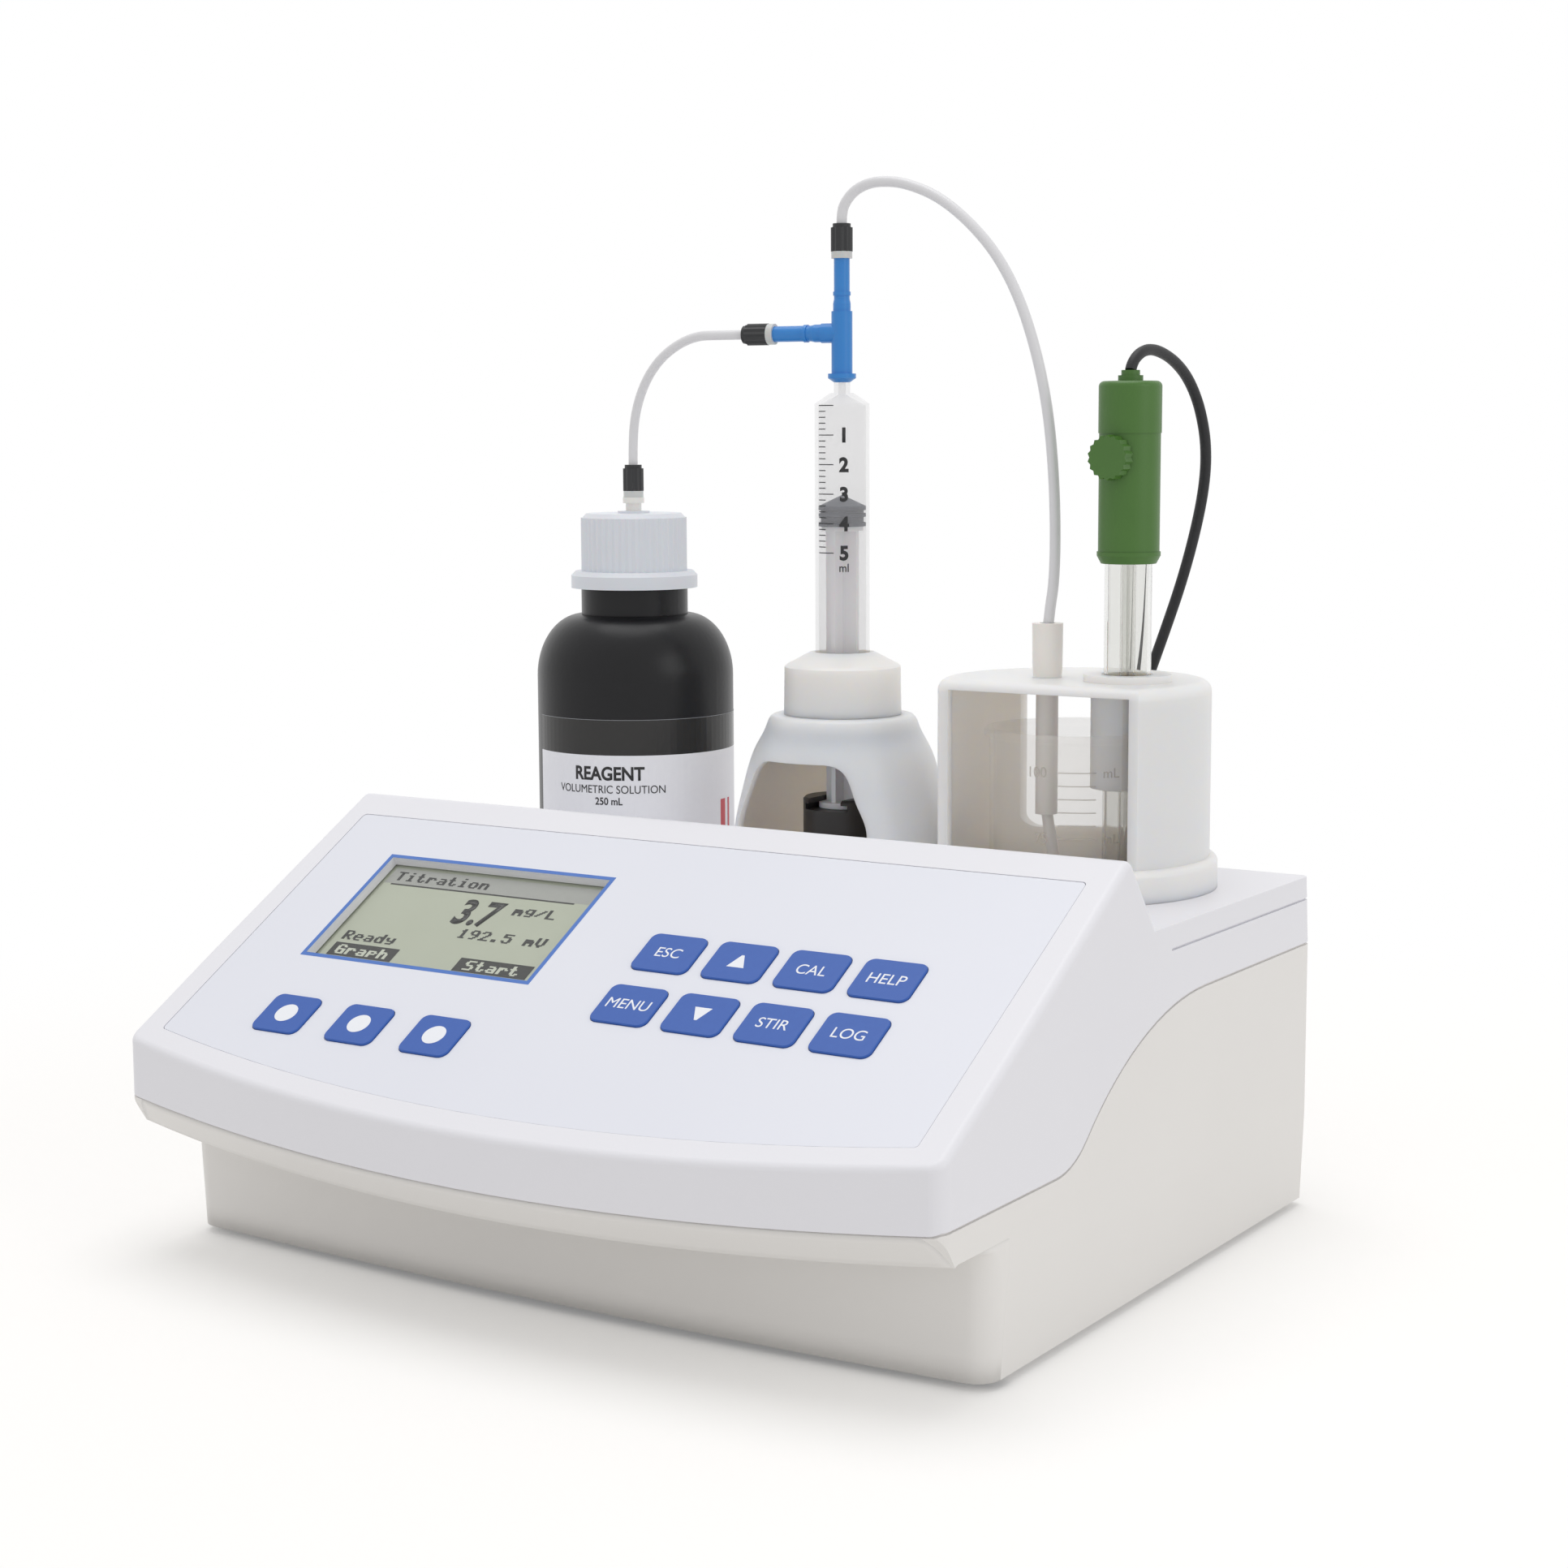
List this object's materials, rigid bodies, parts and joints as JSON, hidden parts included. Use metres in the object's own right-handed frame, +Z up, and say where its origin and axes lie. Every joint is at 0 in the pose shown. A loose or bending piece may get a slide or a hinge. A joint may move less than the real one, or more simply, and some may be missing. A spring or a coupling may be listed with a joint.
{
  "type": "automatic titrator",
  "caption": "Benchtop automatic titrator: stepped moulded case with sloped keypad, reagent bottle, syringe pump under a dome, and a hooded beaker with electrode and dispensing tip.",
  "frame": {"origin": "On the table, at the centre of the box of the instrument without its electrode cable", "axes": "+Z up, +X to the right when the keypad is read, +Y from the keypad towards the rear connectors"},
  "size_m": [0.235, 0.2567, 0.2733],
  "materials": {
    "case_upper": "satin",
    "case_lower": "satin",
    "overlay_film": "matt",
    "key_blue": "satin",
    "display_window": "clear",
    "display_panel": "matt",
    "circuit_board": "matt",
    "foot_rubber": "matt",
    "screw_steel": "zinc plated",
    "black_plastic": "satin",
    "connector_nickel": "nickel plated",
    "rear_plate": "anodised",
    "bottle_plastic": "satin",
    "cap_plastic": "satin",
    "clear_tube": "translucent",
    "barrel_plastic": "clear",
    "stopper_rubber": "matt",
    "plunger_plastic": "satin",
    "piston_plastic": "satin",
    "nut_brass": "turned",
    "screw_rod_steel": "turned",
    "frame_aluminium": "milled",
    "motor_paint": "satin black",
    "valve_plastic": "gloss",
    "fitting_plastic": "satin",
    "ferrule_plastic": "translucent",
    "dome_plastic": "satin",
    "collar_plastic": "satin",
    "hood_plastic": "satin",
    "beaker_plastic": "clear",
    "stir_bar_ptfe": "satin",
    "magnet_steel": "plain",
    "electrode_glass": "clear",
    "electrode_green": "satin",
    "cable_jacket": "satin"
  },
  "bodies": {
    "instrument": {"aspiration_tube": "clear_tube", "assembly_screws": "screw_steel", "beaker": "beaker_plastic", "bnc_plug": "connector_nickel", "bnc_socket": "connector_nickel", "bottle": "bottle_plastic", "bottle_cap": "cap_plastic", "cable_coil": "cable_jacket", "cable_tail": "cable_jacket", "deck_plate": "case_upper", "dip_tube": "clear_tube", "dispensing_tip": "hood_plastic", "dispensing_tube": "clear_tube", "display_window": "display_window", "electrode_body": "electrode_green", "electrode_cable": "cable_jacket", "electrode_cap": "electrode_green", "electrode_glass": "electrode_glass", "electrode_inner_tube": "electrode_glass", "holder_hood": "hood_plastic", "keypad_board": "circuit_board", "keypad_overlay": "overlay_film", "lcd_panel": "display_panel", "lower_case": "case_lower", "main_board": "circuit_board", "motor_bracket": "frame_aluminium", "pump_dome": "dome_plastic", "pump_frame": "frame_aluminium", "pump_motor": "motor_paint", "rear_panel": "rear_plate", "rear_sockets": "black_plastic", "rubber_feet": "foot_rubber", "stirrer_motor": "motor_paint", "switch_frame": "black_plastic", "syringe_barrel": "barrel_plastic", "tube_ferrules": "ferrule_plastic", "tube_nuts": "fitting_plastic", "upper_case": "case_upper", "valve_body": "valve_plastic"},
    "drive": {"drive_piston": "piston_plastic", "drive_nut": "nut_brass", "plunger_rod": "plunger_plastic", "plunger_stopper": "stopper_rubber"},
    "lead_screw_body": {"lead_screw": "screw_rod_steel"},
    "stirrer_rotor": {"magnet_holder": "magnet_steel"},
    "stir_bar_body": {"stir_bar": "stir_bar_ptfe"},
    "collar": {"locking_collar": "collar_plastic"},
    "fill_knob": {"fill_screw": "electrode_green"},
    "rocker": {"power_rocker": "black_plastic"},
    "key_cal_cap": {"key_cal": "key_blue"},
    "key_down_cap": {"key_down": "key_blue"},
    "key_esc_cap": {"key_esc": "key_blue"},
    "key_help_cap": {"key_help": "key_blue"},
    "key_log_cap": {"key_log": "key_blue"},
    "key_menu_cap": {"key_menu": "key_blue"},
    "key_stir_cap": {"key_stir": "key_blue"},
    "key_up_cap": {"key_up": "key_blue"},
    "softkey_left_cap": {"softkey_left": "key_blue"},
    "softkey_middle_cap": {"softkey_middle": "key_blue"},
    "softkey_right_cap": {"softkey_right": "key_blue"}
  },
  "joints": [
    {"name": "key_cal_press", "type": "slide", "parent": "instrument", "child": "key_cal_cap", "axis": [0, 0.5002, -0.8659], "range_m": [0, 0.0005], "stiffness_N_per_m": 2000},
    {"name": "key_down_press", "type": "slide", "parent": "instrument", "child": "key_down_cap", "axis": [0, 0.5002, -0.8659], "range_m": [0, 0.0005], "stiffness_N_per_m": 2000},
    {"name": "key_esc_press", "type": "slide", "parent": "instrument", "child": "key_esc_cap", "axis": [0, 0.5002, -0.8659], "range_m": [0, 0.0005], "stiffness_N_per_m": 2000},
    {"name": "key_help_press", "type": "slide", "parent": "instrument", "child": "key_help_cap", "axis": [0, 0.5002, -0.8659], "range_m": [0, 0.0005], "stiffness_N_per_m": 2000},
    {"name": "key_log_press", "type": "slide", "parent": "instrument", "child": "key_log_cap", "axis": [0, 0.5002, -0.8659], "range_m": [0, 0.0005], "stiffness_N_per_m": 2000},
    {"name": "key_menu_press", "type": "slide", "parent": "instrument", "child": "key_menu_cap", "axis": [0, 0.5002, -0.8659], "range_m": [0, 0.0005], "stiffness_N_per_m": 2000},
    {"name": "key_stir_press", "type": "slide", "parent": "instrument", "child": "key_stir_cap", "axis": [0, 0.5002, -0.8659], "range_m": [0, 0.0005], "stiffness_N_per_m": 2000},
    {"name": "key_up_press", "type": "slide", "parent": "instrument", "child": "key_up_cap", "axis": [0, 0.5002, -0.8659], "range_m": [0, 0.0005], "stiffness_N_per_m": 2000},
    {"name": "softkey_left_press", "type": "slide", "parent": "instrument", "child": "softkey_left_cap", "axis": [0, 0.5002, -0.8659], "range_m": [0, 0.0005], "stiffness_N_per_m": 2000},
    {"name": "softkey_middle_press", "type": "slide", "parent": "instrument", "child": "softkey_middle_cap", "axis": [0, 0.5002, -0.8659], "range_m": [0, 0.0005], "stiffness_N_per_m": 2000},
    {"name": "softkey_right_press", "type": "slide", "parent": "instrument", "child": "softkey_right_cap", "axis": [0, 0.5002, -0.8659], "range_m": [0, 0.0005], "stiffness_N_per_m": 2000},
    {"name": "piston_slide", "type": "slide", "parent": "instrument", "child": "drive", "axis": [0, 0, 1], "range_m": [-0.012, 0.026]},
    {"name": "lead_screw_turn", "type": "hinge", "parent": "instrument", "child": "lead_screw_body", "pos_m": [0, 0.05925, 0], "axis": [0, 0, 1], "range_deg": [-1090, 2350]},
    {"name": "stirrer_spin", "type": "hinge", "parent": "instrument", "child": "stirrer_rotor", "pos_m": [0.0686, 0.06415, 0], "axis": [0, 0, 1], "continuous": true},
    {"name": "stir_bar_spin", "type": "hinge", "parent": "instrument", "child": "stir_bar_body", "pos_m": [0.0686, 0.06415, 0], "axis": [0, 0, 1], "continuous": true},
    {"name": "collar_turn", "type": "hinge", "parent": "instrument", "child": "collar", "pos_m": [0, 0.05925, 0], "axis": [0, 0, 1], "range_deg": [0, 45]},
    {"name": "fill_screw_turn", "type": "hinge", "parent": "instrument", "child": "fill_knob", "pos_m": [0.0836, 0.06165, 0.1986], "axis": [-0.0872, -0.9962, 0], "range_deg": [0, 180]},
    {"name": "power_switch", "type": "hinge", "parent": "instrument", "child": "rocker", "pos_m": [-0.063, 0.09325, 0.034], "axis": [1, 0, 0], "range_deg": [-12, 0]}
  ],
  "couplings": [
    {"joint": "lead_screw_turn", "follows": "piston_slide", "rad_per_m": 1570.8},
    {"joint": "stir_bar_spin", "follows": "stirrer_spin", "ratio": 1}
  ]
}
